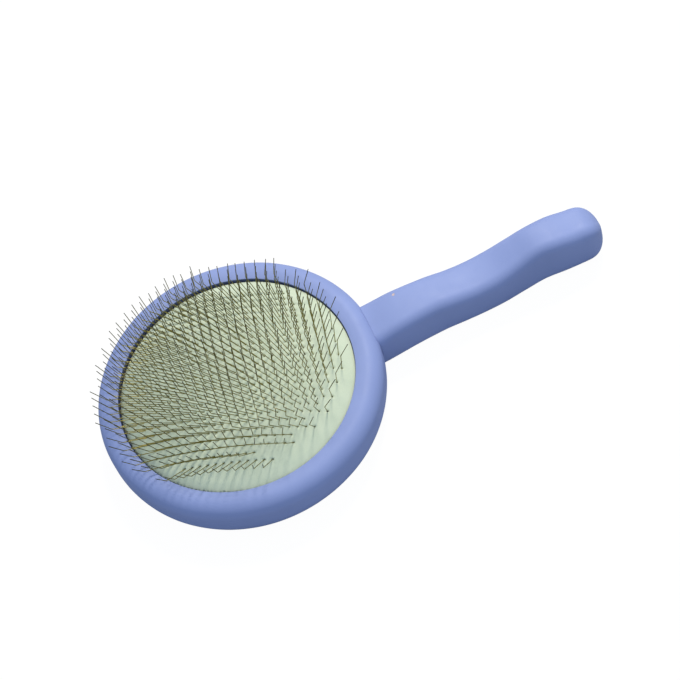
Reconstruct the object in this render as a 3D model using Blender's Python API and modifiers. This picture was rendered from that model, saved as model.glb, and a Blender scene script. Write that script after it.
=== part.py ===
"""Round-headed slicker brush: a painted wooden head and handle, a domed rubber pad
on a foam cushion, and rows of bent steel wires.

Metres, +Z up. The origin is the centre of the head's flat back, +X runs towards the
handle's end, and the wires point up +Z.
"""

import math

import bmesh
import bpy
import numpy as np
from mathutils import Matrix, Vector

MM = 0.001
GAP = 0.3 * MM  # clearance between pieces that are glued or rest on each other
SMOOTH_DEG = 40.0  # edges that turn by more than this stay sharp
RING_STEPS = 44  # round the head
SHEET_STEPS = 30  # round the layers under the rubber

# Head
HEAD_RADIUS = 65.2 * MM
HEAD_BACK_ROUND = 12.5 * MM  # radius of the edge between the back and the side
HEAD_FRONT_ROUND = 7.0 * MM  # radius of the rim's outer shoulder
SHOULDER_START_DEG = 78.0
SHOULDER_DROP = 0.35 * MM  # of the shoulder's circle below the rim's crown
ROUND_STEPS = 4
LIP_RADIUS = 54.0 * MM
LIP_Z = 24.5 * MM  # height of the rim's inner edge above the back
LIP_BEVEL = 0.4 * MM
RIM_CROWN = 0.8 * MM  # how far the rim's face swells above its inner edge
RIM_CROWN_INSET = 0.6 * MM  # of the crown from the middle of the rim, towards the axis
RIM_RISE_OUT = 2.2 * MM  # distance from the lip of a point on the rim's inner slope
RIM_RISE_SHARE = 0.62  # and its share of the crown's height
RECESS_FLOOR_Z = 9.5 * MM
SCRIBE_TOP_Z = LIP_Z + 8.0 * MM  # top of the body that scribes the handle to the head

# Handle
HANDLE_START_X = 60.0 * MM
HANDLE_END_X = 177.8 * MM
# mm: x, half width, half thickness, height of the centre above the back
HANDLE_SECTIONS = (
    (58.0, 11.9, 10.4, 11.1),
    (66.0, 11.7, 10.6, 11.4),
    (80.0, 11.0, 11.2, 12.6),
    (95.0, 10.3, 11.1, 12.4),
    (106.0, 10.2, 10.6, 10.9),
    (116.0, 10.4, 10.0, 10.3),
    (126.0, 10.4, 10.2, 10.9),
    (136.0, 9.8, 11.2, 12.6),
    (146.0, 9.2, 12.4, 14.2),
    (156.0, 9.6, 12.5, 13.7),
    (166.0, 9.5, 11.8, 12.3),
    (178.5, 9.2, 11.5, 11.6),
)
HANDLE_CORNER = 5.2 * MM  # radius of the section's corners
HANDLE_CORNER_STEPS = 2
HANDLE_STATIONS = 15
HANDLE_NOSE = 10.5 * MM  # length of the rounded end
NOSE_STATIONS_DEG = (25.0, 50.0, 70.0, 84.0)
NOSE_SHAPE = 2.2  # exponent of the rounded end

# Dowel that joins the handle to the head
DOWEL_RADIUS = 4.0 * MM
DOWEL_X = (56.2 * MM, 88.0 * MM)
DOWEL_Z = 12.3 * MM
DOWEL_SEGMENTS = 16

# Pad: the top of the rubber, as a dome over the recess
PAD_TURN_DEG = -11.0  # the round pad sits turned in its recess by this much
PAD_CLEARANCE = 0.6 * MM  # between the pad's edge and the lip
PAD_RADIUS = LIP_RADIUS - PAD_CLEARANCE
PAD_TOP_Z = 32.1 * MM
PAD_DROP_2 = 4.6 * MM  # drop at DROP_RADIUS that grows with the square of the radius
PAD_DROP_4 = 2.6 * MM  # and with its fourth power
DROP_RADIUS = 50.0 * MM
PAD_FACE_THICKNESS = 0.8 * MM
SHEET_END_DEG = 11.0  # angle on the pad's edge, from its own X axis, where the sheet ends
SLOT_END_ROOM = 0.9 * MM  # from a row's last wire to the end of its slot
SLOT_EDGE_MARGIN = 1.6 * MM  # least rubber between a slot's end and the pad's edge
# where the sheet and the crowns bend, as shares of a row's half length
ACROSS_PAD = (-1.0, -0.75, -0.4, 0.0, 0.4, 0.75, 1.0)

# Layers under the rubber
CLOTH_DEPTH = 2.8 * MM
CLOTH_THICKNESS = 1.2 * MM
BOARD_LOW_Z = RECESS_FLOOR_Z + GAP
BOARD_THICKNESS = 2.0 * MM
BOARD_HIGH_Z = BOARD_LOW_Z + BOARD_THICKNESS
DOME_POINTS = 5  # from the axis to the edge

# Rows of wires, in the pad's own turned axes: rows run along Y, one after another along X
ROW_COUNT = 28
ROW_SPACING = 3.53 * MM
ROW_OFFSET = -0.27 * MM  # of the middle of the rows from the pad's centre
WIRE_PITCH = 3.62 * MM
ROW_STAGGER = -0.2  # shift of each row against the last, as a share of the pitch
ROW_START = -0.057  # shift of the first row, as a share of the pitch
FIELD_CENTRE = (0.5 * MM, 1.8 * MM)  # the oval field of wires sits a little off centre
FIELD_HALF_LENGTH = 48.9 * MM
FIELD_HALF_WIDTH = 46.85 * MM
FIRST_LINE = -9  # number of the lowest line of wires across the rows
LINES_END = 28  # line numbers stop before this, beyond the oval's far side
OVAL_SHAPE = 2.0  # exponent of the oval
CORNER_SHAPE = 2.4  # and of its fuller quarter, towards -X and -Y
SHORT_NEAR = 0.897  # towards the handle every second line fills this share, on the -Y side
SHORT_FAR = 0.95  # and this share on the +Y side
ROW_SWING_DEG = 5.0  # how far a row can rock in its slot
ROW_CLEARANCE = 0.2 * MM

# Wires
WIRE_RADIUS = 0.32 * MM  # of the circle round the wire's section
WIRE_SIDES = 3
LOWER_LEG = 10.0 * MM
UPPER_LEG = 6.95 * MM
LOWER_LEAN = (-0.66, 0.115)  # slope of the lower leg along X and Y, from the wire's normal
UPPER_LEAN = (-0.015, 0.40)
SPLAY_1 = 0.47  # outward slope of a wire's normal at DROP_RADIUS, linear part
SPLAY_3 = 0.60  # and the part that grows with the cube of the radius

# Crowns: the flat wires under the rubber that the rows stand on
CROWN_DEPTH = 1.75 * MM  # below the rubber's top
CROWN_HALF_WIDTH = 0.42 * MM
CROWN_HALF_DEPTH = 0.3 * MM
CROWN_END = 0.7 * MM  # how far a crown runs on past its last wire
WELD_DISTANCE = 0.001 * MM

PERIWINKLE = (0.318, 0.366, 0.700)


# ---- shared tools ----


def material(name, colour, roughness, metallic=0.0):
    made = bpy.data.materials.new(name)
    made.use_nodes = True
    shader = made.node_tree.nodes["Principled BSDF"]
    shader.inputs["Base Color"].default_value = (*colour, 1.0)
    shader.inputs["Roughness"].default_value = roughness
    shader.inputs["Metallic"].default_value = metallic
    made.diffuse_color = (*colour, 1.0)
    return made


def finish(obj, finish_material, smooth=True):
    obj.data.materials.clear()
    obj.data.materials.append(finish_material)
    if smooth:
        obj.data.shade_smooth()
        obj.data.set_sharp_from_angle(angle=math.radians(SMOOTH_DEG))
    return obj


def linked_object(name, data, collection):
    obj = bpy.data.objects.new(name, data)
    collection.objects.link(obj)
    return obj


def object_from(name, bm, collection):
    bmesh.ops.recalc_face_normals(bm, faces=bm.faces)
    mesh = bpy.data.meshes.new(name)
    bm.to_mesh(mesh)
    bm.free()
    return linked_object(name, mesh, collection)


def evaluated_mesh(obj):
    """A new mesh of the object with its bevel or modifiers applied."""
    bpy.context.view_layer.update()
    graph = bpy.context.evaluated_depsgraph_get()
    return bpy.data.meshes.new_from_object(obj.evaluated_get(graph))


def turned(name, profile, steps, collection):
    """A solid of revolution about Z from a profile of (radius, height), axis to axis."""
    mesh = bpy.data.meshes.new(name)
    mesh.from_pydata(
        [(radius, 0.0, z) for radius, z in profile],
        [(i, i + 1) for i in range(len(profile) - 1)],
        [],
    )
    obj = linked_object(name, mesh, collection)
    screw = obj.modifiers.new("Turn", "SCREW")
    screw.axis = "Z"
    screw.angle = math.tau
    screw.steps = screw.render_steps = steps
    screw.use_merge_vertices = True
    screw.merge_threshold = 0.01 * MM
    screw.use_smooth_shade = True
    return obj


def rod(name, radius, low_x, high_x, collection):
    """A round rod along X at the dowel's height."""
    bm = bmesh.new()
    bmesh.ops.create_cone(
        bm,
        cap_ends=True,
        segments=DOWEL_SEGMENTS,
        radius1=radius,
        radius2=radius,
        depth=high_x - low_x,
        matrix=Matrix.Rotation(math.pi / 2, 4, "Y"),
    )
    obj = object_from(name, bm, collection)
    obj.location = (0.5 * (low_x + high_x), 0.0, DOWEL_Z)
    return obj


def add_boolean(obj, tool, name, operation):
    boolean = obj.modifiers.new(name, "BOOLEAN")
    boolean.operation = operation
    boolean.object = tool


def extrude_through(bm, rings):
    """A closed bar through rings of points, extruded from each ring to the next."""
    face = bm.faces.new([bm.verts.new(point) for point in rings[0]])
    for ring in rings[1:]:
        face = bmesh.ops.extrude_discrete_faces(bm, faces=[face])["faces"][0]
        for vert, point in zip(face.verts, ring):
            vert.co = point
    # the extrusion carries the first ring's face along, so the open end is closed again
    bmesh.ops.contextual_create(bm, geom=[edge for edge in bm.edges if edge.is_boundary])


# ---- head, handle and dowel ----


def arc(centre_radius, centre_z, radius, start_deg, end_deg):
    """Points along an arc in the profile plane, angles from +radius towards +height."""
    return [
        (
            centre_radius + radius * math.cos(math.radians(angle)),
            centre_z + radius * math.sin(math.radians(angle)),
        )
        for angle in np.linspace(start_deg, end_deg, ROUND_STEPS + 1)
    ]


def head_outside(grow=0.0):
    """The head's profile from the rim's crown to the edge of the back, grown outwards."""
    crown_radius = 0.5 * (LIP_RADIUS + HEAD_RADIUS) - RIM_CROWN_INSET
    top = LIP_Z + RIM_CROWN
    shoulder = arc(
        centre_radius=HEAD_RADIUS - HEAD_FRONT_ROUND,
        centre_z=top - SHOULDER_DROP - HEAD_FRONT_ROUND,
        radius=HEAD_FRONT_ROUND + grow,
        start_deg=SHOULDER_START_DEG,
        end_deg=0.0,
    )
    base = arc(
        centre_radius=HEAD_RADIUS - HEAD_BACK_ROUND,
        centre_z=HEAD_BACK_ROUND,
        radius=HEAD_BACK_ROUND + grow,
        start_deg=0.0,
        end_deg=-90.0,
    )
    return [(crown_radius, top + grow), *shoulder, *base]


def make_head(collection, paint):
    """A turned body with the recess for the pad."""
    profile = [
        (0.0, RECESS_FLOOR_Z),
        (LIP_RADIUS, RECESS_FLOOR_Z),
        (LIP_RADIUS, LIP_Z - LIP_BEVEL),
        (LIP_RADIUS + LIP_BEVEL, LIP_Z),
        (LIP_RADIUS + RIM_RISE_OUT, LIP_Z + RIM_RISE_SHARE * RIM_CROWN),
        *head_outside(),
        (0.0, 0.0),
    ]
    return finish(turned("head", profile, RING_STEPS, collection), paint)


def handle_size(x):
    """Half width, half thickness and centre height at x, by cubic interpolation."""
    table = np.array(HANDLE_SECTIONS) * MM
    i = np.searchsorted(table[:, 0], x) - 1
    start, end = table[i], table[i + 1]
    before, after = table[max(i - 1, 0)], table[min(i + 2, len(table) - 1)]
    span = end[0] - start[0]
    share = (x - start[0]) / span
    start_slope = (end - before) / (end[0] - before[0]) * span
    end_slope = (after - start) / (after[0] - start[0]) * span
    section = (
        (2 * share**3 - 3 * share**2 + 1) * start
        + (share**3 - 2 * share**2 + share) * start_slope
        + (-2 * share**3 + 3 * share**2) * end
        + (share**3 - share**2) * end_slope
    )
    return section[1:]


def handle_ring(x):
    """The handle's round-cornered section at x, which shrinks within the rounded end."""
    half_width, half_thickness, centre_z = handle_size(x)
    into_nose = max(1.0 - (HANDLE_END_X - x) / HANDLE_NOSE, 0.0)
    shrink = (1.0 - into_nose**NOSE_SHAPE) ** 0.5
    points = []
    corners = ((1, 1, 0.0), (-1, 1, 90.0), (-1, -1, 180.0), (1, -1, 270.0))
    for side_y, side_z, start in corners:
        for degrees in np.linspace(start, start + 90.0, HANDLE_CORNER_STEPS + 1):
            angle = math.radians(degrees)
            y = side_y * (half_width - HANDLE_CORNER) + HANDLE_CORNER * math.cos(angle)
            rise = side_z * (half_thickness - HANDLE_CORNER) + HANDLE_CORNER * math.sin(angle)
            points.append(Vector((x, y * shrink, centre_z + rise * shrink)))
    return points


def make_handle(collection, paint):
    """A bar whose section follows HANDLE_SECTIONS and closes to a rounded end."""
    stations = [
        *np.linspace(HANDLE_START_X, HANDLE_END_X - HANDLE_NOSE, HANDLE_STATIONS),
        *(
            HANDLE_END_X - HANDLE_NOSE * (1.0 - math.sin(math.radians(angle)))
            for angle in NOSE_STATIONS_DEG
        ),
    ]
    bm = bmesh.new()
    extrude_through(bm, [handle_ring(x) for x in stations])
    return finish(object_from("handle", bm, collection), paint)


def make_wooden_parts(parts, cutters):
    head = make_head(parts, material("periwinkle_paint", PERIWINKLE, roughness=0.42))
    handle_paint = material("periwinkle_paint_handle", PERIWINKLE, roughness=0.42)
    handle = make_handle(parts, handle_paint)

    # the handle's inner end is scribed to the head's side
    scribe_profile = [(0.0, SCRIBE_TOP_Z), *head_outside(GAP), (0.0, -GAP)]
    scribe = turned("head_scribe", scribe_profile, RING_STEPS, cutters)
    add_boolean(handle, scribe, "Scribe", "DIFFERENCE")

    # the dowel and the holes it sits in
    low_x, high_x = DOWEL_X
    beech = material("beech", (0.60, 0.42, 0.25), roughness=0.7)
    finish(rod("handle_dowel", DOWEL_RADIUS, low_x, high_x, parts), beech)
    hole = rod("dowel_hole", DOWEL_RADIUS + GAP, low_x - GAP, high_x + GAP, cutters)
    for drilled in (head, handle):
        add_boolean(drilled, hole, "Dowel hole", "DIFFERENCE")


# ---- the pad's surface and the places of the wires ----


def pad_height(radius):
    share = radius / DROP_RADIUS
    return PAD_TOP_Z - PAD_DROP_2 * share * share - PAD_DROP_4 * share**4


def pad_point(x, y):
    return Vector((x, y, pad_height(math.hypot(x, y))))


def pad_normal(x, y):
    square = x * x + y * y
    slope = 2 * PAD_DROP_2 / DROP_RADIUS**2 + 4 * PAD_DROP_4 * square / DROP_RADIUS**4
    return Vector((slope * x, slope * y, 1.0)).normalized()


def leg_direction(x, y, lean):
    """A leg's direction, leaning from the wire's normal, which splays more than the rubber's."""
    square = (x * x + y * y) / DROP_RADIUS**2
    slope = (SPLAY_1 + SPLAY_3 * square) / DROP_RADIUS
    normal = Vector((slope * x, slope * y, 1.0)).normalized()
    turn = Vector((0.0, 0.0, 1.0)).rotation_difference(normal).to_matrix()
    return turn @ Vector((*lean, 1.0)).normalized()


def wire_points(x, y):
    """Root at the crown, knee and tip of the wire that leaves the rubber at (x, y)."""
    lower = leg_direction(x, y, LOWER_LEAN)
    upper = leg_direction(x, y, UPPER_LEAN)
    leaves = pad_point(x, y)
    root = leaves - lower * (CROWN_DEPTH / lower.dot(pad_normal(x, y)))
    knee = leaves + lower * LOWER_LEG
    return root, knee, knee + upper * UPPER_LEG


def row_x(index):
    return (index - (ROW_COUNT - 1) / 2) * ROW_SPACING + ROW_OFFSET


def row_ys(index):
    """Where the wires of a row leave the rubber, across the pad."""
    middle_x, middle_y = FIELD_CENTRE
    along = (row_x(index) - middle_x) / FIELD_HALF_LENGTH
    shift = index * ROW_STAGGER + ROW_START
    places = []
    for line in range(FIRST_LINE, LINES_END):
        y = (shift + line) * WIRE_PITCH
        across = (y - middle_y) / FIELD_HALF_WIDTH
        shape, share = OVAL_SHAPE, 1.0
        if along < 0.0:
            if across < 0.0:
                shape = CORNER_SHAPE
        elif line % 2 == 0:
            share = SHORT_NEAR if across < 0.0 else SHORT_FAR
        if (abs(along) ** shape + abs(across) ** shape) ** (1.0 / shape) < share:
            places.append(y)
    return places


def row_axis_height(index):
    """Height of the line the row rocks about: the middle of the rubber's heights along it."""
    heights = [pad_point(row_x(index), y).z for y in row_ys(index)]
    return 0.5 * (min(heights) + max(heights))


def slot_edges(index):
    """Low and high x of the opening for a row's wires, with room for the row's swing."""
    x = row_x(index)
    low, high = x, x
    swing = 0.0
    axis = row_axis_height(index)
    for y in row_ys(index):
        lower = leg_direction(x, y, LOWER_LEAN)
        normal = pad_normal(x, y)
        steepness = lower.dot(normal)
        leaves = pad_point(x, y)
        under = leaves - lower * (PAD_FACE_THICKNESS / steepness)
        half = WIRE_RADIUS / steepness
        # the underside's x carried back up the normal to the sheet's top
        under_x = under.x + normal.x * PAD_FACE_THICKNESS
        low = min(low, x - half, under_x - half)
        high = max(high, x + half, under_x + half)
        swing = max(swing, abs(leaves.z - axis), abs(under.z - axis))
    room = swing * math.sin(math.radians(ROW_SWING_DEG)) + ROW_CLEARANCE
    return low - room, high + room


# ---- pad layers ----


def make_layers(collection):
    """Backing board, foam and cloth, from the recess floor up."""

    def dome(depth):
        radii = np.linspace(0.0, 1.0, DOME_POINTS) * PAD_RADIUS
        return [(radius, pad_height(radius) - depth) for radius in radii]

    cloth_low = CLOTH_DEPTH + CLOTH_THICKNESS
    foam_low_z = BOARD_HIGH_Z + GAP
    layers = (
        (
            "backing_board",
            [
                (0.0, BOARD_HIGH_Z),
                (PAD_RADIUS, BOARD_HIGH_Z),
                (PAD_RADIUS, BOARD_LOW_Z),
                (0.0, BOARD_LOW_Z),
            ],
            material("fibreboard", (0.33, 0.22, 0.13), roughness=0.85),
        ),
        (
            "cushion_foam",
            [*dome(cloth_low + GAP), (PAD_RADIUS, foam_low_z), (0.0, foam_low_z)],
            material("foam", (0.80, 0.79, 0.72), roughness=0.95),
        ),
        (
            "foundation_cloth",
            [*dome(CLOTH_DEPTH), *reversed(dome(cloth_low))],
            material("foundation_cloth", (0.55, 0.52, 0.45), roughness=0.9),
        ),
    )
    for name, profile, layer_material in layers:
        finish(turned(name, profile, SHEET_STEPS, collection), layer_material)


def sheet_ys(x):
    """The y of each grid point of the rubber sheet on its line at x."""
    whole = math.sqrt(PAD_RADIUS**2 - x * x)
    nearest = min(range(ROW_COUNT), key=lambda index: abs(row_x(index) - x))
    ys = row_ys(nearest)
    middle = FIELD_CENTRE[1]
    slot = max(middle - ys[0], ys[-1] - middle) + WIRE_RADIUS + SLOT_END_ROOM
    slot = min(slot, whole - middle - SLOT_EDGE_MARGIN)
    return [-whole, *(middle + share * slot for share in ACROSS_PAD), whole]


def make_pad_face(collection):
    """The rubber sheet: a grid over the dome, open where the rows pass, thickened below."""
    end = PAD_RADIUS * math.cos(math.radians(SHEET_END_DEG))
    lines = [-end]
    for index in range(ROW_COUNT):
        lines += slot_edges(index)
    lines.append(end)
    grid_ys = [sheet_ys(x) for x in lines]
    row_length = len(grid_ys[0])

    bm = bmesh.new()
    bmesh.ops.create_grid(
        bm, x_segments=len(lines) - 1, y_segments=row_length - 1, size=0.5
    )
    # number the grid's points by column and row before they are moved
    order = sorted(bm.verts, key=lambda v: (round(v.co.x, 6), round(v.co.y, 6)))
    place = {vert: divmod(number, row_length) for number, vert in enumerate(order)}
    # a slot lies between each odd column and the next, inside the outermost rows
    open_faces = [
        face
        for face in bm.faces
        if min(place[vert][0] for vert in face.verts) % 2 == 1
        and 1 <= min(place[vert][1] for vert in face.verts) < len(ACROSS_PAD)
    ]
    for vert, (i, j) in place.items():
        vert.co = pad_point(lines[i], grid_ys[i][j])
    bmesh.ops.delete(bm, geom=open_faces, context="FACES_ONLY")
    bmesh.ops.delete(
        bm, geom=[edge for edge in bm.edges if not edge.link_faces], context="EDGES"
    )

    # the whole sheet is extruded, so the top skin stays and the copy becomes the underside
    grown = bmesh.ops.extrude_face_region(bm, geom=list(bm.faces))
    for item in grown["geom"]:
        if isinstance(item, bmesh.types.BMVert):
            item.co -= pad_normal(item.co.x, item.co.y) * PAD_FACE_THICKNESS
    rubber = material("sage_rubber", (0.54, 0.63, 0.50), roughness=0.75)
    return finish(object_from("pad_face", bm, collection), rubber)


# ---- rows of wires ----


def make_crown_section(collection):
    """The crown wire's flat section, as a guide curve."""
    curve = bpy.data.curves.new("crown_section", "CURVE")
    curve.dimensions = "2D"
    spline = curve.splines.new("POLY")
    spline.points.add(3)
    corners = ((-1, -1), (1, -1), (1, 1), (-1, 1))
    for point, (side_x, side_y) in zip(spline.points, corners):
        point.co = (side_x * CROWN_HALF_WIDTH, side_y * CROWN_HALF_DEPTH, 0.0, 1.0)
    spline.use_cyclic_u = True
    return linked_object("crown_section", curve, collection)


def start_on_crown(wires, bends):
    """Move each wire's root along its leg onto the crown, which is straight between bends."""
    moved = []
    for i, (root, knee, tip) in enumerate(wires):
        after = min(k for k in range(1, len(bends)) if bends[k] >= i)
        start, end = wires[bends[after - 1]][0], wires[bends[after]][0]
        share = (root.y - start.y) / (end.y - start.y)
        height = start.z + (end.z - start.z) * share
        lower = (knee - root).normalized()
        moved.append((root + lower * ((height - root.z) / lower.z), knee, tip))
    return moved


def make_crown(name, crown_name, roots, collection, section):
    """A crown wire through the roots, run on a little at both ends."""
    curve = bpy.data.curves.new(crown_name, "CURVE")
    curve.dimensions = "3D"
    curve.bevel_mode = "OBJECT"
    curve.bevel_object = section
    curve.use_fill_caps = True
    curve.twist_mode = "Z_UP"
    beyond = Vector((0.0, CROWN_END, 0.0))
    path = [roots[0] - beyond, *roots[1:-1], roots[-1] + beyond]
    spline = curve.splines.new("POLY")
    spline.points.add(len(path) - 1)
    for target, point in zip(spline.points, path):
        target.co = (*point, 1.0)
    guide = linked_object(crown_name, curve, collection)
    mesh = evaluated_mesh(guide)
    bpy.data.objects.remove(guide)
    bpy.data.curves.remove(curve)

    # the caps are welded to the tube
    bm = bmesh.new()
    bm.from_mesh(mesh)
    bpy.data.meshes.remove(mesh)
    bmesh.ops.remove_doubles(bm, verts=bm.verts, dist=WELD_DISTANCE)
    return object_from(name, bm, collection)


def wire_ring(centre, direction):
    """The wire's section, square to the direction."""
    across = Vector((0.0, 1.0, 0.0)).cross(direction).normalized()
    level = direction.cross(across).normalized()
    angles = [i * math.tau / WIRE_SIDES for i in range(WIRE_SIDES)]
    return [
        centre + WIRE_RADIUS * (math.cos(angle) * across + math.sin(angle) * level)
        for angle in angles
    ]


def make_wires(name, wires, collection):
    """All the bent wires of a row, as one mesh."""
    bm = bmesh.new()
    for root, knee, tip in wires:
        lower, upper = (knee - root).normalized(), (tip - knee).normalized()
        middle = (lower + upper).normalized()
        rings = [wire_ring(root, lower), wire_ring(knee, middle), wire_ring(tip, upper)]
        extrude_through(bm, rings)
    return object_from(name, bm, collection)


def make_row(index, collection, steel, section):
    """One row of wires on its crown wire, made one body with a Boolean union."""
    number = f"{index + 1:02d}"
    x, ys = row_x(index), row_ys(index)
    wires = [wire_points(x, y) for y in ys]
    bends = sorted({round((share + 1) / 2 * (len(ys) - 1)) for share in ACROSS_PAD})
    roots = [wires[i][0] for i in bends]
    row = make_crown(f"pin_row_{number}", f"crown_{number}", roots, collection, section)
    tool = make_wires(f"wires_{number}", start_on_crown(wires, bends), collection)

    add_boolean(row, tool, "Wires", "UNION")
    joined = evaluated_mesh(row)
    row.modifiers.clear()
    crown_mesh = row.data
    row.data = joined
    bpy.data.meshes.remove(crown_mesh)
    joined.name = row.name
    bpy.data.objects.remove(tool)

    # the row's own origin is on the line that it rocks about
    pivot = Vector((x, 0.0, row_axis_height(index)))
    joined.transform(Matrix.Translation(-pivot))
    row.location = pivot
    return finish(row, steel, smooth=False)


def make_pad(parts, cutters):
    """The rubber face and the rows, which share one turned frame."""
    frame = linked_object("pad_frame", None, parts)
    frame.rotation_euler.z = math.radians(PAD_TURN_DEG)
    make_pad_face(parts).parent = frame
    steel = material("wire_steel", (0.30, 0.27, 0.19), roughness=0.38, metallic=0.9)
    section = make_crown_section(cutters)
    for index in range(ROW_COUNT):
        make_row(index, parts, steel, section).parent = frame


def main():
    for obj in list(bpy.data.objects):
        bpy.data.objects.remove(obj)
    parts = bpy.data.collections.new("slicker_brush")
    cutters = bpy.data.collections.new("cutters")
    for collection in (parts, cutters):
        bpy.context.scene.collection.children.link(collection)

    make_wooden_parts(parts, cutters)
    make_layers(parts)
    make_pad(parts, cutters)

    for obj in cutters.objects:
        obj.hide_render = True
        obj.display_type = "WIRE"
    cutters.hide_render = True
    bpy.context.view_layer.update()


main()
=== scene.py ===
"""Looks for a round-headed slicker brush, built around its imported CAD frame.

The brush lies on its back on z = 0. The head is centred on the origin with its recess
and wire pad facing +Z, and the handle runs along +X. Sizes are in millimetres and become
metres through MM. The pad's layout has its own axes, turned about Z by PAD_TURN; in them
the near side is -Y and the far side +Y.
"""

import math
from typing import NamedTuple

import bmesh
import bpy
import numpy as np
from mathutils import Matrix, Vector, noise
from mathutils.geometry import delaunay_2d_cdt


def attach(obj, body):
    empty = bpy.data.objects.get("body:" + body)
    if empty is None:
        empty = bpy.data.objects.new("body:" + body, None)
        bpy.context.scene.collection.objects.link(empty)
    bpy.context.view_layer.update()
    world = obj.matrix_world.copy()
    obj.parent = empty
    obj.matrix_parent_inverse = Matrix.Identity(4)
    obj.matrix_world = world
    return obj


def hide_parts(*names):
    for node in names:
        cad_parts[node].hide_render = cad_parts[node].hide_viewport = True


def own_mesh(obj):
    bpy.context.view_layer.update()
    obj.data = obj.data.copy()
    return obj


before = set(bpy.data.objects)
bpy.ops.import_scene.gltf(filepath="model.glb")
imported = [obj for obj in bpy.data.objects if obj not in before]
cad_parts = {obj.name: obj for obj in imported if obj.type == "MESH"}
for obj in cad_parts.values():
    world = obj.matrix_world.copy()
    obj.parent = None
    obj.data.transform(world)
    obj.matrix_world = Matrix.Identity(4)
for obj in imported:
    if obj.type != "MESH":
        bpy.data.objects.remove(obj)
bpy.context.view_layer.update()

MM = 0.001

# ---------------------------------------------------------------- driving dimensions

# head
HEAD_RADIUS = 65.2
HEAD_SHIFT = 0.5  # how much wider the rim is towards the handle, and narrower away from it
FRONT_ROUND, BACK_ROUND = 7.0, 12.5
LIP_RADIUS, LIP_Z = 54.0, 24.5
RIM_RISE = 0.45  # top of the rim above the lip
RECESS_FLOOR_Z = 9.5

# dowel between head and handle
DOWEL_RADIUS, DOWEL_START_X, DOWEL_END_X, DOWEL_Z = 4.0, 56.2, 88.0, 12.3
HOLE_CLEARANCE, HOLE_END_GAP = 0.15, 0.2

# pad
PAD_TURN = math.radians(-11.0)
PAD_RADIUS, PAD_TOP_Z = 53.4, 32.1
DROP_SQUARE, DROP_FOURTH, DROP_RADIUS = 4.6, 2.6, 50.0  # the dome's two drops at DROP_RADIUS
CROWN_DEPTH = 1.75  # from the dome down to the crowns of the staples
CLOTH_DEPTH, CLOTH_THICKNESS = 2.8, 1.2
FOAM_BOTTOM_Z = 12.1
DEEP_SIDE = (-0.85, 0.53)  # where the sheet's edge sits deepest, in world X and Y

TURN = np.array(
    (
        (math.cos(PAD_TURN), -math.sin(PAD_TURN), 0.0),
        (math.sin(PAD_TURN), math.cos(PAD_TURN), 0.0),
        (0.0, 0.0, 1.0),
    )
)

# ---------------------------------------------------------------- mesh helpers


def mesh_object(name, verts, faces):
    """A smooth-shaded object from vertices in millimetres."""
    mesh = bpy.data.meshes.new(name)
    mesh.from_pydata((np.asarray(verts) * MM).tolist(), [], faces)
    mesh.validate()
    mesh.update()
    mesh.shade_smooth()
    obj = bpy.data.objects.new(name, mesh)
    bpy.context.scene.collection.objects.link(obj)
    return obj


def face_out(obj):
    bm = bmesh.new()
    bm.from_mesh(obj.data)
    bmesh.ops.recalc_face_normals(bm, faces=bm.faces)
    bm.to_mesh(obj.data)
    bm.free()
    return obj


def ripples(x, y, z, layers):
    """Summed smooth noise from (height, feature size, seed) layers."""
    return sum(
        height
        * noise.noise(Vector((x / size + seed * 17.3, y / size - seed * 5.1, z / size + seed)))
        for height, size, seed in layers
    )


def bands(rings, around, first=0):
    """Quads that join consecutive closed rings of vertices."""
    quads = []
    for i in range(rings - 1):
        ring = first + i * around
        for k in range(around):
            a, b = ring + k, ring + (k + 1) % around
            quads.append((a, b, b + around, a + around))
    return quads


def turned(name, profile, steps):
    """A solid of revolution from (radius, height) points whose first and last lie on the axis."""
    verts = [(0.0, 0.0, profile[0][1])]
    for radius, z in profile[1:-1]:
        for angle in np.arange(steps) * math.tau / steps:
            verts.append((radius * math.cos(angle), radius * math.sin(angle), z))
    verts.append((0.0, 0.0, profile[-1][1]))
    rings = len(profile) - 2
    last = len(verts) - 1
    base = last - steps
    faces = [(0, 1 + (k + 1) % steps, 1 + k) for k in range(steps)]
    faces += bands(rings, steps, first=1)
    faces += [(last, base + k, base + (k + 1) % steps) for k in range(steps)]
    return face_out(mesh_object(name, verts, faces))


def arc(centre, radius, start, end, steps):
    """Profile points along an arc, its angles in degrees."""
    return [
        (
            centre[0] + radius * math.cos(math.radians(angle)),
            centre[1] + radius * math.sin(math.radians(angle)),
        )
        for angle in np.linspace(start, end, steps + 1)
    ]


def drill(obj, low, high):
    """Cuts the dowel's hole along X from low to high and leaves the result in the mesh."""
    radius = DOWEL_RADIUS + HOLE_CLEARANCE
    bm = bmesh.new()
    bmesh.ops.create_cone(
        bm,
        cap_ends=True,
        segments=40,
        radius1=radius * MM,
        radius2=radius * MM,
        depth=(high - low) * MM,
        matrix=Matrix.Translation(Vector((0.5 * (low + high), 0.0, DOWEL_Z)) * MM)
        @ Matrix.Rotation(math.pi / 2, 4, "Y"),
    )
    mesh = bpy.data.meshes.new("drill")
    bm.to_mesh(mesh)
    bm.free()
    tool = bpy.data.objects.new("drill", mesh)
    bpy.context.scene.collection.objects.link(tool)
    boolean = obj.modifiers.new("Hole", "BOOLEAN")
    boolean.operation = "DIFFERENCE"
    boolean.solver = "MANIFOLD"
    boolean.object = tool
    bpy.context.view_layer.update()
    graph = bpy.context.evaluated_depsgraph_get()
    result = bpy.data.meshes.new_from_object(obj.evaluated_get(graph))
    obj.modifiers.clear()
    old = obj.data
    obj.data = result
    result.name = obj.name
    bpy.data.meshes.remove(old)
    bpy.data.objects.remove(tool)
    obj.data.shade_smooth()
    return obj


# ---------------------------------------------------------------- head

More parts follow.
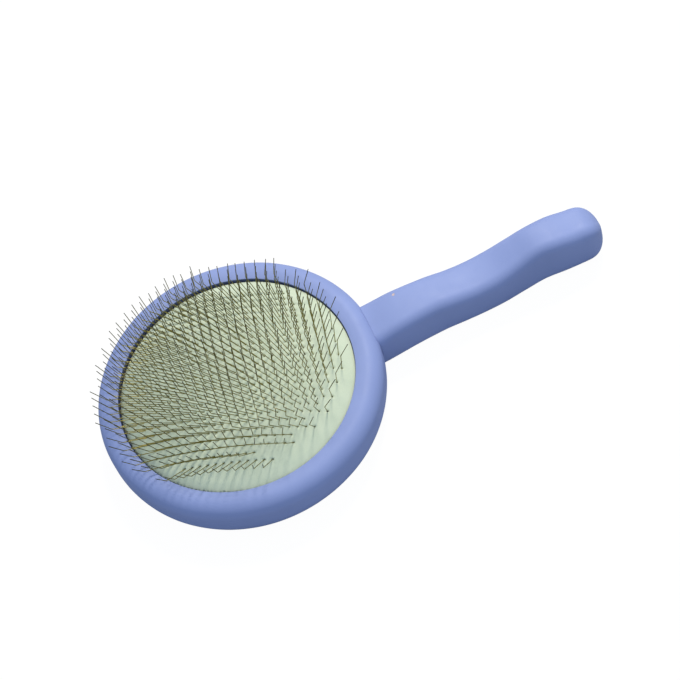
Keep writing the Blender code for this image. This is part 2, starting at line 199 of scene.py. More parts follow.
SHOULDER_RADIUS, SHOULDER_Z = HEAD_RADIUS - FRONT_ROUND, LIP_Z + RIM_RISE - FRONT_ROUND
FLOOR_ROUND, LIP_ROUND = 1.0, 0.45
# the rim just outside the lip: distance outwards from the lip, height from it
RIM_RAMP = ((0.55, -0.02), (1.1, 0.12), (1.8, 0.25), (2.6, 0.35), (3.4, 0.42))
HEAD_RIPPLES = ((0.10, 24.0, 1), (0.035, 7.0, 2))
HEAD_HOLE_END_X = 80.0  # clear of the head's side


def head_side(z):
    """Radius of the head's outer surface at a height."""
    if z > SHOULDER_Z:
        return SHOULDER_RADIUS + math.sqrt(max(FRONT_ROUND**2 - (z - SHOULDER_Z) ** 2, 0.0))
    if z < BACK_ROUND:
        return HEAD_RADIUS - BACK_ROUND + math.sqrt(
            max(BACK_ROUND**2 - (z - BACK_ROUND) ** 2, 0.0)
        )
    return HEAD_RADIUS


def head_profile():
    """From the middle of the recess floor, over the rim, to the middle of the back."""
    floor_corner = (LIP_RADIUS - FLOOR_ROUND, RECESS_FLOOR_Z + FLOOR_ROUND)
    return (
        [(r, RECESS_FLOOR_Z) for r in (0.0, 8.0, 20.0, 36.0, 48.0, 52.5)]
        + arc(floor_corner, FLOOR_ROUND, start=-90, end=0, steps=4)
        + [(LIP_RADIUS, z) for z in (12.0, 15.0, 18.0, 21.0, 23.2)]
        + arc((LIP_RADIUS + LIP_ROUND, LIP_Z - 0.5), LIP_ROUND, start=180, end=100, steps=5)
        + [(LIP_RADIUS + out, LIP_Z + rise) for out, rise in RIM_RAMP]
        + arc((SHOULDER_RADIUS, SHOULDER_Z), FRONT_ROUND, start=90, end=0, steps=18)
        + [(HEAD_RADIUS, z) for z in (16.2, 14.2)]
        + arc((HEAD_RADIUS - BACK_ROUND, BACK_ROUND), BACK_ROUND, start=0, end=-90, steps=18)
        + [(r, 0.0) for r in (48.0, 36.0, 24.0, 12.0, 5.0, 0.0)]
    )


def make_head():
    head = turned("head_painted", head_profile(), steps=320)
    # hand-finished wood: the outside is uneven, fading out at the lip and at the back
    inner_edge, back_edge = LIP_RADIUS + 0.8, 1.0
    for v in head.data.vertices:
        x, y, z = v.co / MM
        r = math.hypot(x, y)
        if r > inner_edge and z > back_edge:
            fade = min(1.0, (z - back_edge) / 3.0) * min(1.0, (r - inner_edge) / 2.0)
            push = fade * ripples(x, y, z, HEAD_RIPPLES)
            v.co += Vector((x / r, y / r, 0.35)).normalized() * push * MM
            # the rim is a little wider on the handle's side
            v.co += Vector((x / r, y / r, 0.0)) * (HEAD_SHIFT * fade * x / r) * MM
    return drill(head, DOWEL_START_X - HOLE_END_GAP, HEAD_HOLE_END_X)


# ---------------------------------------------------------------- handle

HANDLE_END_X = 177.8
NOSE_LENGTH = 10.5
HANDLE_CORNER = 5.2
FLAT_BULGE = 0.22
# x, half width, half thickness, height of the centre
HANDLE_SECTIONS = np.array(
    (
        (58.0, 11.9, 10.4, 11.1),
        (66.0, 11.7, 10.6, 11.4),
        (80.0, 11.0, 11.2, 12.6),
        (95.0, 10.3, 11.1, 12.4),
        (106.0, 10.2, 10.6, 10.9),
        (116.0, 10.4, 10.0, 10.3),
        (126.0, 10.4, 10.2, 10.9),
        (136.0, 9.8, 11.2, 12.6),
        (146.0, 9.2, 12.4, 14.2),
        (156.0, 9.6, 12.5, 13.7),
        (166.0, 9.5, 11.8, 12.3),
        (178.5, 9.2, 11.5, 11.6),
    )
)
CORNER_STEPS, FLAT_STEPS = 9, 7  # segments in each corner and each flat of the section
NECK_END_X, NECK_RINGS = 76.0, 12  # rings slant from the head's side to upright here
BODY_RINGS, NOSE_RINGS = 92, 26
END_ROWS = 5  # rings of faces that close the end against the head
JOINT_GAP = 0.12  # between the handle and the head's side
HANDLE_RIPPLES = ((0.10, 18.0, 3), (0.03, 6.0, 4))
RIPPLE_START_X = 68.0
HANDLE_HOLE_START_X = 50.0  # clear of the handle's end


def section_at(x):
    """Half width, half thickness and centre height, by cubic interpolation."""
    table = HANDLE_SECTIONS
    i = int(np.clip(np.searchsorted(table[:, 0], x) - 1, 0, len(table) - 2))
    here, there = table[i], table[i + 1]
    before, after = table[max(i - 1, 0)], table[min(i + 2, len(table) - 1)]
    span = there[0] - here[0]
    t = (x - here[0]) / span
    slope_here = (there - before) / (there[0] - before[0]) * span
    slope_there = (after - here) / (after[0] - here[0]) * span
    section = (
        (2 * t**3 - 3 * t**2 + 1) * here
        + (t**3 - 2 * t**2 + t) * slope_here
        + (-2 * t**3 + 3 * t**2) * there
        + (t**3 - t**2) * slope_there
    )
    return section[1:]


def outline():
    """Marks round the section: corner, angle in it, next corner, and share of the way there."""
    corners = ((1, 1), (-1, 1), (-1, -1), (1, -1))
    marks = []
    for number, corner in enumerate(corners):
        start, end = 90.0 * number, 90.0 * (number + 1)
        following = corners[(number + 1) % 4]
        for angle in np.linspace(start, end, CORNER_STEPS + 1):
            marks.append((corner, math.radians(angle), following, 0.0))
        for k in range(1, FLAT_STEPS):
            marks.append((corner, math.radians(end), following, k / FLAT_STEPS))
    return marks


OUTLINE = outline()


def handle_point(x, mark):
    half_y, half_z, centre = section_at(min(x, HANDLE_END_X))
    shrink = 1.0
    left = HANDLE_END_X - x
    if left < NOSE_LENGTH:
        into_nose = 1.0 - max(left, 0.0) / NOSE_LENGTH
        shrink = max((1.0 - into_nose**2.5) ** 0.5, 0.0)
    round_by = min(HANDLE_CORNER, half_y, half_z)
    corner, angle, following, share = mark
    (y, z), (next_y, next_z) = (
        (
            side_y * (half_y - round_by) + round_by * math.cos(angle),
            side_z * (half_z - round_by) + round_by * math.sin(angle),
        )
        for side_y, side_z in (corner, following)
    )
    if share:
        bulge = FLAT_BULGE * math.sin(math.pi * share)
        y += (next_y - y) * share + bulge * math.cos(angle)
        z += (next_z - z) * share + bulge * math.sin(angle)
    return x, y * shrink, centre + z * shrink


def joint_radius(z):
    """Radius of the handle's end face, just off the head's side."""
    return head_side(z) + HEAD_SHIFT + JOINT_GAP


def handle_start(mark):
    """Where a line along the handle meets the head's side, found by halving."""
    low, high = 40.0, NECK_END_X
    for _ in range(30):
        x = 0.5 * (low + high)
        _, y, z = handle_point(x, mark)
        if math.hypot(x, y) > joint_radius(z):
            high = x
        else:
            low = x
    return 0.5 * (low + high)


def close_against_head(verts, faces, count):
    """Closes the first ring with shrinking rings that follow the head's side."""
    last_ring = list(range(count))
    centre_z = np.mean([verts[k] for k in range(count)], axis=0)[2]
    for row in range(1, END_ROWS):
        share = 1.0 - row / END_ROWS
        ring = []
        for k in range(count):
            _, y, z = verts[k]
            y, z = y * share, centre_z + (z - centre_z) * share
            ring.append(len(verts))
            verts.append((math.sqrt(max(joint_radius(z) ** 2 - y * y, 0.0)), y, z))
        for k in range(count):
            after = (k + 1) % count
            faces.append((last_ring[after], last_ring[k], ring[k], ring[after]))
        last_ring = ring
    middle = len(verts)
    verts.append((joint_radius(centre_z), 0.0, centre_z))
    faces += [(last_ring[(k + 1) % count], last_ring[k], middle) for k in range(count)]


def make_handle():
    count = len(OUTLINE)
    starts = [handle_start(mark) for mark in OUTLINE]
    stations = list(np.linspace(NECK_END_X, HANDLE_END_X - NOSE_LENGTH, BODY_RINGS))
    stations += [
        HANDLE_END_X - NOSE_LENGTH * (1.0 - math.sin(math.radians(angle)))
        for angle in np.linspace(4.0, 88.0, NOSE_RINGS)
    ]
    verts = []
    for k in range(NECK_RINGS):
        share = k / NECK_RINGS
        for start, mark in zip(starts, OUTLINE):
            verts.append(handle_point(start + (NECK_END_X - start) * share, mark))
    for x in stations:
        verts += [handle_point(x, mark) for mark in OUTLINE]
    rings = NECK_RINGS + len(stations)
    faces = bands(rings, count)
    # the nose closes on a point
    tip = len(verts)
    verts.append((HANDLE_END_X, 0.0, section_at(HANDLE_END_X)[2]))
    base = (rings - 1) * count
    faces += [(base + k, base + (k + 1) % count, tip) for k in range(count)]
    close_against_head(verts, faces, count)

    handle = face_out(mesh_object("handle_painted", verts, faces))
    for v in handle.data.vertices:
        x, y, z = v.co / MM
        if x > RIPPLE_START_X:
            fade = min(1.0, (x - RIPPLE_START_X) / 10.0)
            out = Vector((0.0, y, z - section_at(min(x, HANDLE_END_X))[2]))
            if out.length > 0.5:
                v.co += out.normalized() * (fade * ripples(x, y, z, HANDLE_RIPPLES)) * MM
    handle.data.set_sharp_from_angle(angle=math.radians(50.0))
    return drill(handle, HANDLE_HOLE_START_X, DOWEL_END_X + HOLE_END_GAP)


# ---------------------------------------------------------------- the pad's dome


def pad_height(r):
    share = r / DROP_RADIUS
    return PAD_TOP_Z - DROP_SQUARE * share * share - DROP_FOURTH * share**4


def pad_normal(x, y):
    slope = (
        2 * DROP_SQUARE / DROP_RADIUS**2
        + 4 * DROP_FOURTH * (x * x + y * y) / DROP_RADIUS**4
    )
    return Vector((slope * x, slope * y, 1.0)).normalized()


def towards_deep_side(x, y):
    """How far a place on the pad lies towards the deep side."""
    world_x, world_y, _ = TURN @ (x, y, 0.0)
    return world_x * DEEP_SIDE[0] + world_y * DEEP_SIDE[1]


# ---------------------------------------------------------------- where the wires stand

ROW_COUNT, ROW_SPACING, ROW_OFFSET = 28, 3.53, -0.27
WIRE_PITCH = 3.62
ROW_STAGGER, ROW_START = -0.2, -0.057  # in pitches: shift per row, and of the first row
FIRST_LINE = -9
FIELD_CENTRE, FIELD_HALF_LENGTH, FIELD_HALF_WIDTH = (0.5, 1.8), 48.9, 46.85
CORNER_SHAPE = 2.4  # exponent of the field's squarer corner, at -X and near
SHORT_NEAR, SHORT_FAR = 0.897, 0.95  # share of the field the even lines fill on its +X half
LOWER_LEAN, UPPER_LEAN = (-0.66, 0.115), (-0.015, 0.40)  # along X and Y per unit of height
SPLAY, SPLAY_GROWTH = 0.47, 0.60  # outward slope at DROP_RADIUS: linear and cubic parts
LOWER_SCATTER, UPPER_SCATTER_RATIO = 0.020, 1.6
LOWEST_DROOP = 0.30  # the first line of wires hangs outwards over the near edge


class Wire(NamedTuple):
    row: int
    x: float
    y: float
    lower: Vector  # direction of the lower leg
    upper: Vector  # direction of the upper leg


def row_x(row):
    return (row - (ROW_COUNT - 1) / 2) * ROW_SPACING + ROW_OFFSET


def row_lines(row):
    """The (line, y) of every wire in a row that falls inside the field."""
    along = (row_x(row) - FIELD_CENTRE[0]) / FIELD_HALF_LENGTH
    shift = row * ROW_STAGGER + ROW_START
    places = []
    for line in range(FIRST_LINE, ROW_COUNT):
        y = (shift + line) * WIRE_PITCH
        across = (y - FIELD_CENTRE[1]) / FIELD_HALF_WIDTH
        shape, share = 2.0, 1.0
        if along < 0.0:
            if across < 0.0:
                shape = CORNER_SHAPE
        elif line % 2 == 0:
            share = SHORT_NEAR if across < 0.0 else SHORT_FAR
        if (abs(along) ** shape + abs(across) ** shape) ** (1.0 / shape) < share:
            places.append((line, y))
    return places


def splay_at(x, y):
    """The rotation that splays a wire outwards."""
    slope = (SPLAY + SPLAY_GROWTH * (x * x + y * y) / DROP_RADIUS**2) / DROP_RADIUS
    normal = Vector((slope * x, slope * y, 1.0)).normalized()
    return Vector((0.0, 0.0, 1.0)).rotation_difference(normal).to_matrix()


def place_wires():
    rng = np.random.default_rng(7)
    wires = []
    for row in range(ROW_COUNT):
        x = row_x(row)
        for line, y in row_lines(row):
            splay = splay_at(x, y)
            lower = splay @ Vector((*LOWER_LEAN, 1.0)).normalized()
            upper = splay @ Vector((*UPPER_LEAN, 1.0)).normalized()
            off = rng.normal(0.0, LOWER_SCATTER, 4)
            droop = LOWEST_DROOP if line == FIRST_LINE else 0.0
            lower = Vector((lower.x + off[0], lower.y + off[1] - droop, lower.z))
            upper = Vector(
                (
                    upper.x + off[2] * UPPER_SCATTER_RATIO,
                    upper.y + off[3] * UPPER_SCATTER_RATIO,
                    upper.z,
                )
            )
            wires.append(Wire(row, x, y, lower.normalized(), upper.normalized()))
    return wires


WIRES = place_wires()

# ---------------------------------------------------------------- rubber sheet

WIRE_RADIUS = 0.18
ROCK_ANGLE = math.radians(5.0)  # how far a row rocks
SWING_SLACK = 0.04  # swing the round hole already takes up
SHEET_RADIUS, SHEET_THICKNESS = 53.75, 0.8
DENT_DEPTH, DENT_SIZE, DENT_REACH = 0.55, 0.85, 3.6
HOLE_RADIUS = 0.33
RING_RADII, RING_STEPS = (HOLE_RADIUS, 0.58, 0.82, 1.12, 1.48), 12  # vertices round a hole
RIM_STEPS, RIM_INSETS = 360, (0.25, 0.5)
LATTICE_STEP, LATTICE_RIM_GAP, LATTICE_HOLE_GAP = 0.95, 0.75, 0.4
LATTICE_ROW = 0.866  # height of a lattice row per step
SHEET_RIPPLES, RIPPLE_FADE = ((0.10, 9.0, 5), (0.05, 3.0, 6)), 4.0
EDGE_WIDTH, EDGE_DROP, EDGE_LIFT = 0.6, 0.10, 0.22  # edge rounding: top drop, bottom lift
TUCK_START = 49.6  # radius at which the edge starts to be pulled down into the recess
LEAST_TUCK, MOST_TUCK = 0.1, 1.7


def hole_swing(wire):
    """Extra half length of a wire's hole along X, so the wire clears it as its row rocks."""
    heights = [pad_height(math.hypot(wire.x, y)) for _, y in row_lines(wire.row)]
    axis = 0.5 * (min(heights) + max(heights))
    top = pad_height(math.hypot(wire.x, wire.y)) - DENT_DEPTH
    low = top - SHEET_THICKNESS
    along = wire.lower.dot(pad_normal(wire.x, wire.y))
    lean = abs(wire.lower.x) / along
    reach = max(abs(top - axis), abs(low - axis)) + (DENT_DEPTH + SHEET_THICKNESS) * lean * lean
    swing = reach * math.sin(ROCK_ANGLE) + WIRE_RADIUS * (1.0 / along - 1.0) - SWING_SLACK
    return max(0.0, swing)


PLACES = np.array([(wire.x, wire.y) for wire in WIRES])
SWINGS = np.array([hole_swing(wire) for wire in WIRES])


def hole_gaps(spots):
    """How far each spot lies from the nearest hole's middle line, in chunks to spare memory."""
    gaps = []
    for first in range(0, len(spots), 4000):
        part = spots[first : first + 4000]
        aside = np.abs(part[:, None, 0] - PLACES[None, :, 0]) - SWINGS[None, :]
        apart = np.hypot(np.maximum(aside, 0.0), part[:, None, 1] - PLACES[None, :, 1])
        gaps.append(apart.min(1))
    return np.concatenate(gaps)


def closed_loop(first, count):
    return [(first + k, first + (k + 1) % count) for k in range(count)]


def rim_point(inset, step):
    angle = step * math.tau / RIM_STEPS
    return (SHEET_RADIUS - inset) * math.cos(angle), (SHEET_RADIUS - inset) * math.sin(angle)


def sheet_points():
    """Flat points of the sheet, and the edges that must be kept: hole rings and the rim."""
    points, edges = [], []
    for (x, y), swing in zip(PLACES, SWINGS):
        edges += closed_loop(len(points), RING_STEPS)
        for k, radius in enumerate(RING_RADII):
            for step in range(RING_STEPS):
                angle = (step + 0.5 * (k % 2)) * math.tau / RING_STEPS
                side = round(math.cos(angle), 6)
                slot = swing * ((side > 0) - (side < 0))
                points.append((x + slot + radius * side, y + radius * math.sin(angle)))
    edges += closed_loop(len(points), RIM_STEPS)
    points += [rim_point(0.0, step) for step in range(RIM_STEPS)]

    rows = int(PAD_RADIUS / (LATTICE_STEP * LATTICE_ROW)) + 1
    lattice = []
    for j in range(-rows, rows + 1):
        for i in range(-rows, rows + 1):
            x, y = (i + 0.5 * (j % 2)) * LATTICE_STEP, j * LATTICE_STEP * LATTICE_ROW
            if math.hypot(x, y) < SHEET_RADIUS - LATTICE_RIM_GAP:
                lattice.append((x, y))
    lattice = np.array(lattice)
    clear = hole_gaps(lattice) > RING_RADII[-1] + LATTICE_HOLE_GAP
    points += [tuple(spot) for spot in lattice[clear]]
    for inset in RIM_INSETS:
        points += [rim_point(inset, step + inset) for step in range(0, RIM_STEPS, 2)]
    return points, edges


def sheet_triangles():
    """The flat sheet, pierced: its points, and triangles that face up."""
    points, edges = sheet_points()
    found = delaunay_2d_cdt([Vector(point) for point in points], edges, [], 0, 1e-6)
    flat = np.array([tuple(point) for point in found[0]])
    triangles = np.array([tuple(face) for face in found[2]])
    centres = flat[triangles].mean(1)
    keep = np.hypot(centres[:, 0], centres[:, 1]) < SHEET_RADIUS
    keep &= hole_gaps(centres) > HOLE_RADIUS * 0.9
    used, triangles = np.unique(triangles[keep], return_inverse=True)
    flat, triangles = flat[used], triangles.reshape(-1, 3)
    first = flat[triangles[:, 1]] - flat[triangles[:, 0]]
    second = flat[triangles[:, 2]] - flat[triangles[:, 0]]
    down = first[:, 0] * second[:, 1] - first[:, 1] * second[:, 0] <= 0
    triangles[down] = triangles[down, ::-1]
    return flat, [tuple(face) for face in triangles.tolist()]


def sheet_top_and_bottom(x, y):
    """The sheet's two surfaces at a place, dented where the wires pull it down."""
    r = math.hypot(x, y)
    gaps = np.hypot(PLACES[:, 0] - x, PLACES[:, 1] - y)
    nearest = int(gaps.argmin())
    aside = max(abs(x - PLACES[nearest, 0]) - SWINGS[nearest], 0.0)
    gap = math.hypot(aside, y - PLACES[nearest, 1])
    # dents of neighbouring wires add up
    close = gaps[gaps < DENT_REACH]
    depth = DENT_DEPTH * float(np.exp(-((close / DENT_SIZE) ** 2)).sum())
    # close to a hole the dent follows the wire's lean
    normal = pad_normal(x, y)
    lower = WIRES[nearest].lower
    follow = min(max((RING_RADII[-1] - gap) / (RING_RADII[-1] - HOLE_RADIUS), 0.0), 1.0)
    follow = follow * follow * (3 - 2 * follow)
    way = normal * (1.0 - follow) + lower * (follow / lower.dot(normal))

    swell = ripples(x, y, 0.0, SHEET_RIPPLES) * min(1.0, (SHEET_RADIUS - r) / RIPPLE_FADE)
    base = Vector((x, y, pad_height(r) + swell))
    edge = max(0.0, r - (SHEET_RADIUS - EDGE_WIDTH)) / EDGE_WIDTH
    base -= normal * (EDGE_DROP * edge * edge)
    deep = max(0.0, 0.5 + 0.5 * towards_deep_side(x, y) / max(r, 1.0))
    tucked = max(0.0, r - TUCK_START) / (SHEET_RADIUS - TUCK_START)
    base.z -= (LEAST_TUCK + (MOST_TUCK - LEAST_TUCK) * deep**1.5) * tucked**1.6
    top = base - way * depth
    bottom = base - way * (depth + SHEET_THICKNESS) + normal * (EDGE_LIFT * edge * edge)
    return tuple(top), tuple(bottom)


def open_edges(faces):
    """The directed edges that belong to only one face."""
    edges = {}
    for a, b, c in faces:
        for edge in ((a, b), (b, c), (c, a)):
            if edge[::-1] in edges:
                del edges[edge[::-1]]
            else:
                edges[edge] = True
    return edges


def make_sheet():
    """The rubber sheet, with a real hole for each wire."""
    flat, faces = sheet_triangles()
    tops, bottoms = zip(*(sheet_top_and_bottom(x, y) for x, y in flat))
    count = len(flat)
    under = [tuple(i + count for i in face[::-1]) for face in faces]
    walls = [(b, a, a + count, b + count) for a, b in open_edges(faces)]
    sheet = mesh_object("pad_sheet", np.array(tops + bottoms) @ TURN.T, faces + under + walls)
    sheet.data.set_sharp_from_angle(angle=math.radians(70.0))
    return sheet


# ---------------------------------------------------------------- wire rows

LOWER_LEG, UPPER_LEG = 10.0, 6.95
WIRE_SIDES = 8
BEND_RADIUS, BEND_STEPS = 0.75, 4
FAR_TIPS = 0.24  # share by which the upper legs are longer on the deep side
FAR_TIPS_START, FAR_TIPS_RUN = 20.0, 25.0
STUB = Vector((0.0, -1.6, 0.0))  # half crown of a leg left without a partner


def tube(path):
    """Vertices and faces of a round wire along a list of points, with flat ends."""
    verts = []
    runs = [(after - before).normalized() for before, after in zip(path, path[1:])]
    across = runs[0].orthogonal().normalized()
    for i, place in enumerate(path):
        if i == 0:
            along = runs[0]
        elif i == len(path) - 1:
            along = runs[-1]
        else:
            along = (runs[i - 1] + runs[i]).normalized()
        across = (across - along * across.dot(along)).normalized()
        up = along.cross(across)
        for side in range(WIRE_SIDES):
            angle = side * math.tau / WIRE_SIDES
            verts.append(place + WIRE_RADIUS * (math.cos(angle) * across + math.sin(angle) * up))
    last = (len(path) - 1) * WIRE_SIDES
    faces = bands(len(path), WIRE_SIDES)
    faces.append(tuple(range(WIRE_SIDES - 1, -1, -1)))
    faces.append(tuple(last + side for side in range(WIRE_SIDES)))
    return verts, faces


def rounded(points):
    """A polyline with its corners rounded."""
    path = [points[0]]
    for before, corner, after in zip(points, points[1:], points[2:]):
        into, out = (corner - before).normalized(), (after - corner).normalized()
        cut = min(
            BEND_RADIUS * math.tan(into.angle(out) / 2),
            0.45 * (corner - before).length,
            0.45 * (after - corner).length,
        )
        start, end = corner - into * cut, corner + out * cut
        for k in range(BEND_STEPS + 1):
            t = k / BEND_STEPS
            path.append(start * (1 - t) ** 2 + corner * 2 * t * (1 - t) + end * t * t)
    path.append(points[-1])
    return path


def leg(wire):
    """Root, knee and tip of one leg."""
    x, y, lower = wire.x, wire.y, wire.lower
    leaves = Vector((x, y, pad_height(math.hypot(x, y))))
    root = leaves - lower * (CROWN_DEPTH / lower.dot(pad_normal(x, y)))
    knee = leaves + lower * LOWER_LEG
    share = min(max((towards_deep_side(x, y) - FAR_TIPS_START) / FAR_TIPS_RUN, 0.0), 1.0)
    return root, knee, knee + wire.upper * UPPER_LEG * (1.0 + FAR_TIPS * share)


def on_upper_leg(spot, legs):
    """Whether a vertex of the wire lies on one of the upper legs."""
    for _, knee, tip in legs:
        run = tip - knee
        share = min(max((spot - knee).dot(run) / run.length_squared, 0.0), 1.0)
        if share > 0.04 and (spot - knee - run * share).length < 0.4:
            return True
    return False


def make_row(row):
    """A row of staples: pairs of legs, each on a crown that lies under the rubber."""
    legs = [leg(wire) for wire in WIRES if wire.row == row]
    verts, faces, upper = [], [], []
    for i in range(0, len(legs), 2):
        pair = legs[i : i + 2]
        root, knee, tip = pair[0]
        path = [tip, knee, root]
        path += pair[1] if len(pair) == 2 else [root + STUB]
        spots, cells = tube(rounded(path))
        base = len(verts)
        upper += [float(on_upper_leg(spot, pair)) for spot in spots]
        verts += [tuple(spot) for spot in spots]
        faces += [tuple(base + k for k in cell) for cell in cells]
    obj = mesh_object(f"wires_{row + 1:02d}", np.array(verts) @ TURN.T, faces)
    obj.data.attributes.new("upper", "FLOAT", "POINT").data.foreach_set("value", upper)
    obj.data.set_sharp_from_angle(angle=math.radians(50.0))
    return obj


# ---------------------------------------------------------------- cloth and foam

CLOTH_INSET = 0.1  # kept clear at the cloth's edge and below it
FOAM_EDGE = PAD_RADIUS - 1.2
FOAM_GAP = 0.3  # kept clear above and below the foam
FOAM_SWELL = 1.0
FOAM_RIPPLES = ((0.12, 3.0, 8),)


def make_cloth():
    """The woven sheet under the crowns."""
    radii = np.linspace(0.0, PAD_RADIUS - CLOTH_INSET, 34)
    upper = [(r, pad_height(r) - CLOTH_DEPTH) for r in radii]
    lower = [(r, z - CLOTH_THICKNESS + CLOTH_INSET) for r, z in reversed(upper)]
    return turned("woven_cloth", upper + lower, steps=160)


def make_foam():
    """The foam cushion: flat below, domed above, its edge a little swollen."""
    radii = np.linspace(0.0, FOAM_EDGE, 30)
    upper = [(r, pad_height(r) - CLOTH_DEPTH - CLOTH_THICKNESS - FOAM_GAP) for r in radii]
    top_z, low_z = upper[-1][1], FOAM_BOTTOM_Z + FOAM_GAP
    side = [
        (FOAM_EDGE + FOAM_SWELL * math.sin(math.pi * t) ** 0.6, top_z + (low_z - top_z) * t)
        for t in np.linspace(0.08, 0.92, 9)
    ]
    lower = [(r, low_z) for r in reversed(radii)]
    foam = turned("foam_cushion", upper + side + lower, steps=160)
    for v in foam.data.vertices:
        x, y, z = v.co / MM
        if math.hypot(x, y) > 1.0 and z > low_z + 0.2:
            # ripples only ever sink below the dome
            v.co.z += (ripples(x, y, z, FOAM_RIPPLES) - FOAM_RIPPLES[0][0]) * MM
    return foam


# ---------------------------------------------------------------- materials


class Finish:
    """A node material under construction, with coordinates in millimetres."""

    SOCKETS = {
        "colour": "Base Color",
        "rough": "Roughness",
        "metal": "Metallic",
        "normal": "Normal",
        "sheen": "Sheen Weight",
        "sheen_rough": "Sheen Roughness",
        "specular": "Specular IOR Level",
    }

    def __init__(self, name):
        self.material = bpy.data.materials.new(name)
        self.material.use_nodes = True
        self.tree = self.material.node_tree
        self.shader = self.tree.nodes["Principled BSDF"]
        coordinates = self.node("ShaderNodeTexCoord")
        self.place = self.mapping(
            coordinates.outputs["Object"], "Scale", (1 / MM, 1 / MM, 1 / MM)
        )

    def node(self, kind, **values):
        made = self.tree.nodes.new(kind)
        for key, value in values.items():
            setattr(made, key, value)
        return made

    def feed(self, target, value):
        """Links a socket, or sets a value; a plain colour gets its alpha."""
        if isinstance(value, bpy.types.NodeSocket):
            self.tree.links.new(value, target)
        elif isinstance(value, tuple) and target.type == "RGBA":
            target.default_value = (*value, 1.0)
        else:
            target.default_value = value

    def mapping(self, vector, setting, amounts):
        made = self.node("ShaderNodeMapping")
        made.inputs[setting].default_value = amounts
        self.feed(made.inputs["Vector"], vector)
        return made.outputs["Vector"]

    def noise(self, size, detail=3.0, rough=0.55, stretch=None, distortion=0.0):
        """Noise from 0 to 1 whose features are about size millimetres."""
        texture = self.node("ShaderNodeTexNoise")
        texture.inputs["Scale"].default_value = 1.0 / size
        texture.inputs["Detail"].default_value = detail
        texture.inputs["Roughness"].default_value = rough
        texture.inputs["Distortion"].default_value = distortion
        place = self.mapping(self.place, "Scale", stretch) if stretch else self.place
        self.feed(texture.inputs["Vector"], place)
        return texture.outputs["Fac"]

    def cells(self, spacing, place):
        cells = self.node("ShaderNodeTexVoronoi", feature="F1")
        cells.inputs["Scale"].default_value = 1.0 / spacing
        self.feed(cells.inputs["Vector"], place)
        return cells.outputs

    def ramp(self, value, to=(0.0, 1.0), over=(0.3, 0.7)):
        """Maps the span over, by default the middle of a noise, to the span to."""
        mapped = self.node("ShaderNodeMapRange")
        mapped.inputs["From Min"].default_value = over[0]
        mapped.inputs["From Max"].default_value = over[1]
        mapped.inputs["To Min"].default_value = to[0]
        mapped.inputs["To Max"].default_value = to[1]
        self.feed(mapped.inputs["Value"], value)
        return mapped.outputs["Result"]

    def math(self, operation, a, b=0.0):
        made = self.node("ShaderNodeMath", operation=operation)
        self.feed(made.inputs[0], a)
        self.feed(made.inputs[1], b)
        return made.outputs[0]

    def mix(self, share, a, b):
        made = self.node("ShaderNodeMix", data_type="RGBA")
        self.feed(made.inputs["Factor"], share)
        self.feed(made.inputs["A"], a)
        self.feed(made.inputs["B"], b)
        return made.outputs["Result"]

    def tint(self, colour, mask, strength, tint):
        """Mixes a tint into a colour where the mask is, at a strength."""
        return self.mix(self.math("MULTIPLY", mask, strength), colour, tint)

    def specks(self, spacing, radius, share, seed):
        """A mask of small dots, 1 inside, in a share of the cells of a scattered pattern."""
        outputs = self.cells(
            spacing, self.mapping(self.place, "Location", (seed, seed * 1.7, -seed))
        )
        size = radius / spacing
        dot = self.ramp(outputs["Distance"], to=(1.0, 0.0), over=(0.6 * size, size))
        split = self.node("ShaderNodeSeparateColor")
        self.feed(split.inputs["Color"], outputs["Color"])
        return self.math("MULTIPLY", dot, self.math("LESS_THAN", split.outputs["Red"], share))

    def spot(self, centre, radius, ragged):
        """A mask of one ragged spot round a point."""
        away = self.node("ShaderNodeVectorMath", operation="DISTANCE")
        self.feed(away.inputs[0], self.place)
        away.inputs[1].default_value = centre
        edge = self.ramp(self.noise(size=0.6, detail=2.0), to=(-ragged, ragged), over=(0.0, 1.0))
        shape = self.math("ADD", away.outputs["Value"], edge)
        return self.ramp(shape, to=(1.0, 0.0), over=(radius * 0.75, radius))

    def bump(self, height, depth, strength, under=None):
        """A bump of a depth in millimetres, over another bump if one is given."""
        made = self.node("ShaderNodeBump")
        made.inputs["Strength"].default_value = strength
        made.inputs["Distance"].default_value = depth * MM
        self.feed(made.inputs["Height"], height)
        if under is not None:
            self.feed(made.inputs["Normal"], under)
        return made.outputs["Normal"]

    def set(self, **values):
        for key, value in values.items():
            self.feed(self.shader.inputs[self.SOCKETS[key]], value)
        return self.material


class Spot(NamedTuple):
    centre: tuple
    radius: float
    tint: tuple


PERIWINKLE = (0.276, 0.331, 0.588)


def recess_shade_mask(f):
    """1 within the lip's radius of the Z axis, 0 outside: where the painted shade of the recess
    goes.
    """
    split = f.node("ShaderNodeSeparateXYZ")
    f.feed(split.inputs["Vector"], f.place)
    squares = [f.math("POWER", split.outputs[axis], 2.0) for axis in "XY"]
    away = f.math("SQRT", f.math("ADD", *squares))
    return f.ramp(away, to=(1.0, 0.0), over=(LIP_RADIUS + 0.02, LIP_RADIUS + 0.12))


